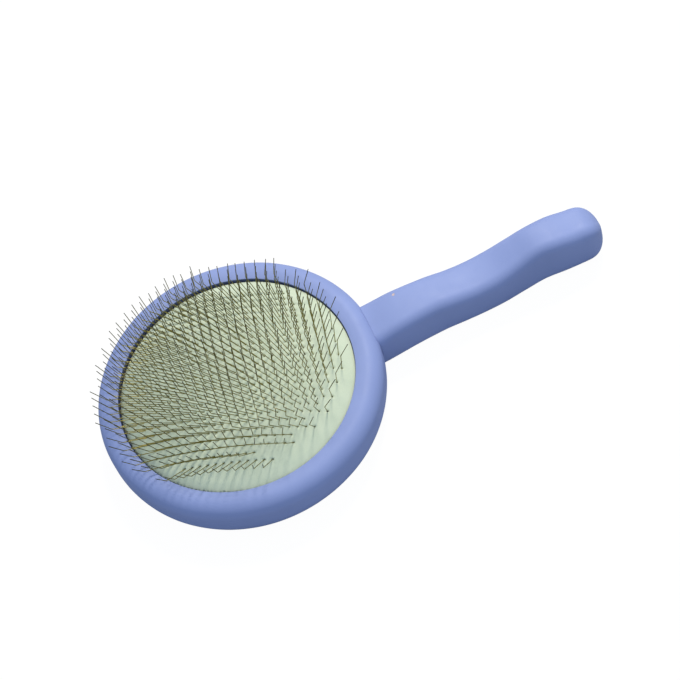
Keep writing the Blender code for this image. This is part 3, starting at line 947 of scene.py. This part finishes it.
def paint(name, chip, mark, recess=False):
    """Satin paint over wood: shade drift, grain, orange peel, dust nibs, a chip and a mark; with
    recess set, painted shade inside the lip.
    """
    f = Finish(name)
    colour = f.mix(
        f.ramp(f.noise(size=26.0, detail=2.0)),
        tuple(c * 0.965 for c in PERIWINKLE),
        tuple(c * 1.03 + 0.004 for c in PERIWINKLE),
    )
    mottle = f.noise(size=1.4, detail=4.0, rough=0.65)
    mottle = f.ramp(mottle, to=(0.0, 0.05), over=(0.35, 0.75))
    colour = f.mix(mottle, colour, (0.18, 0.22, 0.55))
    pale = f.specks(spacing=7.0, radius=0.23, share=0.16, seed=3.0)
    colour = f.tint(colour, pale, strength=0.75, tint=(0.80, 0.84, 0.95))
    dark = f.specks(spacing=8.0, radius=0.26, share=0.14, seed=11.0)
    colour = f.tint(colour, dark, strength=0.55, tint=(0.10, 0.12, 0.33))
    chipped = f.spot(chip.centre, chip.radius, ragged=0.35)
    colour = f.mix(chipped, colour, chip.tint)
    marked = f.spot(mark.centre, mark.radius, ragged=0.2)
    colour = f.tint(colour, marked, strength=0.5, tint=mark.tint)
    peel = f.noise(size=0.9, rough=0.6)
    grain = f.noise(size=2.2, rough=0.6, stretch=(0.10, 1.0, 1.0))
    nibs = f.specks(spacing=5.0, radius=0.3, share=0.2, seed=23.0)
    normal = f.bump(grain, depth=0.035, strength=0.35)
    normal = f.bump(peel, depth=0.030, strength=0.5, under=normal)
    normal = f.bump(nibs, depth=0.05, strength=0.5, under=normal)
    if recess:
        # painted shade: the wall inside the lip is darkened to stand in for the shadow in the gap
        # beside the pad
        colour = f.tint(colour, recess_shade_mask(f), strength=0.85, tint=(0.020, 0.032, 0.120))
    whole = f.math("SUBTRACT", 1.0, chipped)
    normal = f.bump(whole, depth=0.12, strength=0.8, under=normal)
    rough = f.ramp(f.noise(size=5.0), to=(0.50, 0.62))
    return f.set(colour=colour, rough=rough, normal=normal, specular=0.30)


def rubber():
    """Soft matte rubber-faced cloth: fine grain, faint cloudiness, pale specks."""
    f = Finish("sage_rubber")
    cloud = f.ramp(f.noise(size=11.0))
    colour = f.mix(cloud, (0.630, 0.682, 0.488), (0.670, 0.717, 0.524))
    fine = f.ramp(f.noise(size=0.55, rough=0.7), to=(0.0, 0.16), over=(0.4, 0.75))
    colour = f.mix(fine, colour, (0.38, 0.47, 0.36))
    pale = f.specks(spacing=3.2, radius=0.17, share=0.12, seed=5.0)
    colour = f.tint(colour, pale, strength=0.6, tint=(0.85, 0.90, 0.84))
    normal = f.bump(f.noise(size=0.42, detail=2.0, rough=0.6), depth=0.05, strength=0.5)
    normal = f.bump(f.noise(size=2.6, rough=0.6), depth=0.12, strength=0.5, under=normal)
    rough = f.ramp(f.noise(size=2.0, detail=2.0), to=(0.72, 0.88))
    return f.set(
        colour=colour, rough=rough, normal=normal, specular=0.35, sheen=0.12, sheen_rough=0.5
    )


def wire_steel():
    """Drawn spring wire, browned, with pale glints along it; its upper legs are painted darker as
    shade.
    """
    f = Finish("wire_steel")
    tone = f.ramp(f.noise(size=2.4, rough=0.6))
    colour = f.mix(tone, (0.200, 0.166, 0.030), (0.362, 0.304, 0.085))
    # painted shade: the upper legs are tinted darker than the lower ones, for how the light falls
    # on them
    upper_leg_shade = f.node("ShaderNodeAttribute", attribute_name="upper").outputs["Fac"]
    colour = f.tint(colour, upper_leg_shade, strength=0.72, tint=(0.060, 0.055, 0.050))
    normal = f.bump(f.noise(size=0.25, detail=2.0, rough=0.6), depth=0.01, strength=0.4)
    rough = f.ramp(f.noise(size=1.1, detail=2.0), to=(0.28, 0.46))
    return f.set(colour=colour, rough=rough, metal=0.85, normal=normal)


def beech():
    """Bare wood with its grain along X."""
    f = Finish("beech_dowel")
    light, dark, along = (0.62, 0.44, 0.27), (0.47, 0.31, 0.17), (0.06, 1.0, 1.0)
    rings = f.noise(size=2.6, detail=4.0, rough=0.6, stretch=along, distortion=0.4)
    pores = f.noise(size=0.35, detail=2.0, rough=0.6, stretch=along)
    colour = f.mix(f.ramp(rings, over=(0.35, 0.65)), light, dark)
    pore_mask = f.ramp(pores, to=(0.35, 0.0), over=(0.25, 0.45))
    colour = f.mix(pore_mask, colour, tuple(c * 0.5 for c in dark))
    return f.set(colour=colour, rough=0.62, normal=f.bump(pores, depth=0.05, strength=0.5))


def fibreboard():
    f = Finish("fibreboard")
    fibres = f.noise(size=0.8, detail=4.0, rough=0.7, stretch=(0.4, 1.0, 3.0))
    colour = f.mix(f.ramp(fibres), (0.26, 0.165, 0.095), (0.40, 0.28, 0.17))
    return f.set(colour=colour, rough=0.82, normal=f.bump(fibres, depth=0.06, strength=0.6))


def woven():
    """Plain-weave cotton backing."""
    f = Finish("woven_cotton")
    waves = []
    for axis in ("X", "Y"):
        wave = f.node("ShaderNodeTexWave", bands_direction=axis, wave_profile="SIN")
        wave.inputs["Scale"].default_value = 0.9
        wave.inputs["Distortion"].default_value = 0.35
        f.feed(wave.inputs["Vector"], f.place)
        waves.append(wave.outputs["Fac"])
    threads = f.math("MAXIMUM", *waves)
    # painted shade: the cloth is coloured darker between the threads and lighter on their crests
    colour = f.mix(f.ramp(threads, over=(0.0, 1.0)), (0.36, 0.33, 0.26), (0.60, 0.57, 0.49))
    normal = f.bump(threads, depth=0.12, strength=0.8)
    return f.set(colour=colour, rough=0.9, normal=normal, sheen=0.2)


def open_cell_foam():
    f = Finish("foam")
    distance = f.cells(spacing=0.625, place=f.place)["Distance"]
    pore = f.ramp(distance, to=(1.0, 0.0), over=(0.05, 0.5))
    # painted shade: the foam is coloured darker inside its pores
    colour = f.mix(pore, (0.80, 0.78, 0.70), (0.50, 0.47, 0.40))
    normal = f.bump(f.math("SUBTRACT", 1.0, pore), depth=0.2, strength=0.8)
    return f.set(colour=colour, rough=0.95, normal=normal)


# ---------------------------------------------------------------- pieces on their bodies


def dress(obj, material, body, node):
    """Gives a piece its material and its body, and hides the CAD node it stands for."""
    obj.data.materials.clear()
    obj.data.materials.append(material)
    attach(obj, body)
    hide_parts(node)
    return obj


head_paint = paint(
    "periwinkle_head",
    chip=Spot((61.3, -14.0, 24.8), 0.42, (0.80, 0.83, 0.93)),
    mark=Spot((28.0, -59.0, 21.5), 0.5, (0.09, 0.11, 0.32)),
    # the head's paint carries painted shade inside the recess
    recess=True,
)
handle_paint = paint(
    "periwinkle_handle",
    chip=Spot((80.1, 6.5, 23.7), 0.75, (0.62, 0.46, 0.42)),
    mark=Spot((98.0, -9.5, 16.5), 0.5, (0.20, 0.22, 0.42)),
)
dress(make_head(), head_paint, "head", "head")
dress(make_handle(), handle_paint, "head", "handle")
dress(make_sheet(), rubber(), "pad", "pad_face")
dress(make_cloth(), woven(), "pad", "foundation_cloth")
foam = dress(make_foam(), open_cell_foam(), "head", "cushion_foam")
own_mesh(foam)
steel = wire_steel()
wire_rows = [make_row(row) for row in range(ROW_COUNT)]
for number, obj in enumerate(wire_rows, start=1):
    dress(obj, steel, f"row_{number:02d}", f"pin_row_{number:02d}")

# CAD pieces that keep their own shape
for node, material in (("handle_dowel", beech()), ("backing_board", fibreboard())):
    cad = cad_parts[node]
    cad.data.materials.clear()
    cad.data.materials.append(material)

# ---------------------------------------------------------------- floor, lights, world

# floor and room look equally pale to the camera, whatever light they give the brush
SEEN_WHITE, SEEN_STRENGTH = (1.0, 1.0, 1.0, 1.0), 0.97


def pale_floor():
    """White to the eye with a trace of shadow, and too dim to light the brush from below."""
    bounce, seen_base = (0.45, 0.46, 0.48, 1.0), (0.05, 0.05, 0.05, 1.0)
    material = bpy.data.materials.new("pale_floor")
    material.use_nodes = True
    nodes, links = material.node_tree.nodes, material.node_tree.links
    shader = nodes["Principled BSDF"]
    shader.inputs["Base Color"].default_value = bounce
    shader.inputs["Roughness"].default_value = 0.9
    shader.inputs["Specular IOR Level"].default_value = 0.0
    shader.inputs["Emission Color"].default_value = SEEN_WHITE
    eye = nodes.new("ShaderNodeLightPath").outputs["Is Camera Ray"]
    glow = nodes.new("ShaderNodeMath")
    glow.operation = "MULTIPLY"
    glow.inputs[1].default_value = SEEN_STRENGTH
    links.new(eye, glow.inputs[0])
    links.new(glow.outputs[0], shader.inputs["Emission Strength"])
    tone = nodes.new("ShaderNodeMix")
    tone.data_type = "RGBA"
    tone.inputs["A"].default_value = bounce
    tone.inputs["B"].default_value = seen_base
    links.new(eye, tone.inputs["Factor"])
    links.new(tone.outputs["Result"], shader.inputs["Base Color"])
    return material


def make_floor():
    """A square floor just under the brush, in metres."""
    half, z = 3.0, -0.0003
    corners = [(-half, -half, z), (half, -half, z), (half, half, z), (-half, half, z)]
    mesh = bpy.data.meshes.new("floor")
    mesh.from_pydata(corners, [], [(0, 1, 2, 3)])
    floor = bpy.data.objects.new("floor", mesh)
    bpy.context.scene.collection.objects.link(floor)
    mesh.materials.append(pale_floor())


def area(name, towards, distance, size, power, colour):
    """A round soft light that looks at the brush from a direction; lengths in metres."""
    light = bpy.data.lights.new(name, "AREA")
    light.shape = "DISK"
    light.size = size
    light.energy = power
    light.color = colour
    obj = bpy.data.objects.new(name, light)
    bpy.context.scene.collection.objects.link(obj)
    target = Vector((0.03, 0.0, 0.015))
    way = Vector(towards).normalized()
    obj.location = target + way * distance
    obj.rotation_euler = way.to_track_quat("Z", "Y").to_euler()


def make_world():
    """A soft bluish room that the camera sees as pale."""
    world = bpy.data.worlds.new("soft_room")
    world.use_nodes = True
    nodes, links = world.node_tree.nodes, world.node_tree.links
    room = nodes["Background"]
    room.inputs["Color"].default_value = (0.60, 0.79, 1.04, 1.0)
    room.inputs["Strength"].default_value = 0.53
    backdrop = nodes.new("ShaderNodeBackground")
    backdrop.inputs["Color"].default_value = SEEN_WHITE
    backdrop.inputs["Strength"].default_value = SEEN_STRENGTH
    eye = nodes.new("ShaderNodeLightPath")
    either = nodes.new("ShaderNodeMixShader")
    links.new(eye.outputs["Is Camera Ray"], either.inputs[0])
    links.new(room.outputs[0], either.inputs[1])
    links.new(backdrop.outputs[0], either.inputs[2])
    links.new(either.outputs[0], nodes["World Output"].inputs["Surface"])
    bpy.context.scene.world = world


make_floor()
area(
    "key",
    towards=(0.34, 0.44, 0.83),
    distance=1.6,
    size=0.36,
    power=19.2,
    colour=(1.0, 0.96, 0.88),
)
area(
    "wide_fill",
    towards=(0.25, -0.25, 0.90),
    distance=1.8,
    size=1.6,
    power=5.0,
    colour=(0.86, 0.93, 1.0),
)
make_world()

scene = bpy.context.scene
scene.view_settings.view_transform = "Standard"
scene.view_settings.look = "None"

# ---------------------------------------------------------------- camera

# seen from above on the -Y side, almost square to the handle, and rolled
AZIMUTH, ELEVATION, ROLL = math.radians(-4.0), math.radians(57.1), math.radians(-22.3)
PIVOT = Vector((0.0, 0.0, 24.5))
PIVOT_IN_VIEW = Vector((-46.125, -18.9, -1105.9))  # the pivot in the camera's own axes
LENS, SENSOR_WIDTH = 132.35294, 36.0


def make_camera():
    back = Vector(
        (
            math.sin(AZIMUTH) * math.cos(ELEVATION),
            -math.cos(AZIMUTH) * math.cos(ELEVATION),
            math.sin(ELEVATION),
        )
    )
    level = Vector((math.cos(AZIMUTH), math.sin(AZIMUTH), 0.0))
    upright = back.cross(level)
    right = level * math.cos(ROLL) + upright * math.sin(ROLL)
    up = -level * math.sin(ROLL) + upright * math.cos(ROLL)
    turn = Matrix((right, up, back)).transposed()
    data = bpy.data.cameras.new("camera")
    data.sensor_width = SENSOR_WIDTH
    data.lens = LENS
    data.clip_start = 0.05
    camera = bpy.data.objects.new("camera", data)
    place = (PIVOT - turn @ PIVOT_IN_VIEW) * MM
    camera.matrix_world = Matrix.Translation(place) @ turn.to_4x4()
    scene.collection.objects.link(camera)
    scene.camera = camera


make_camera()
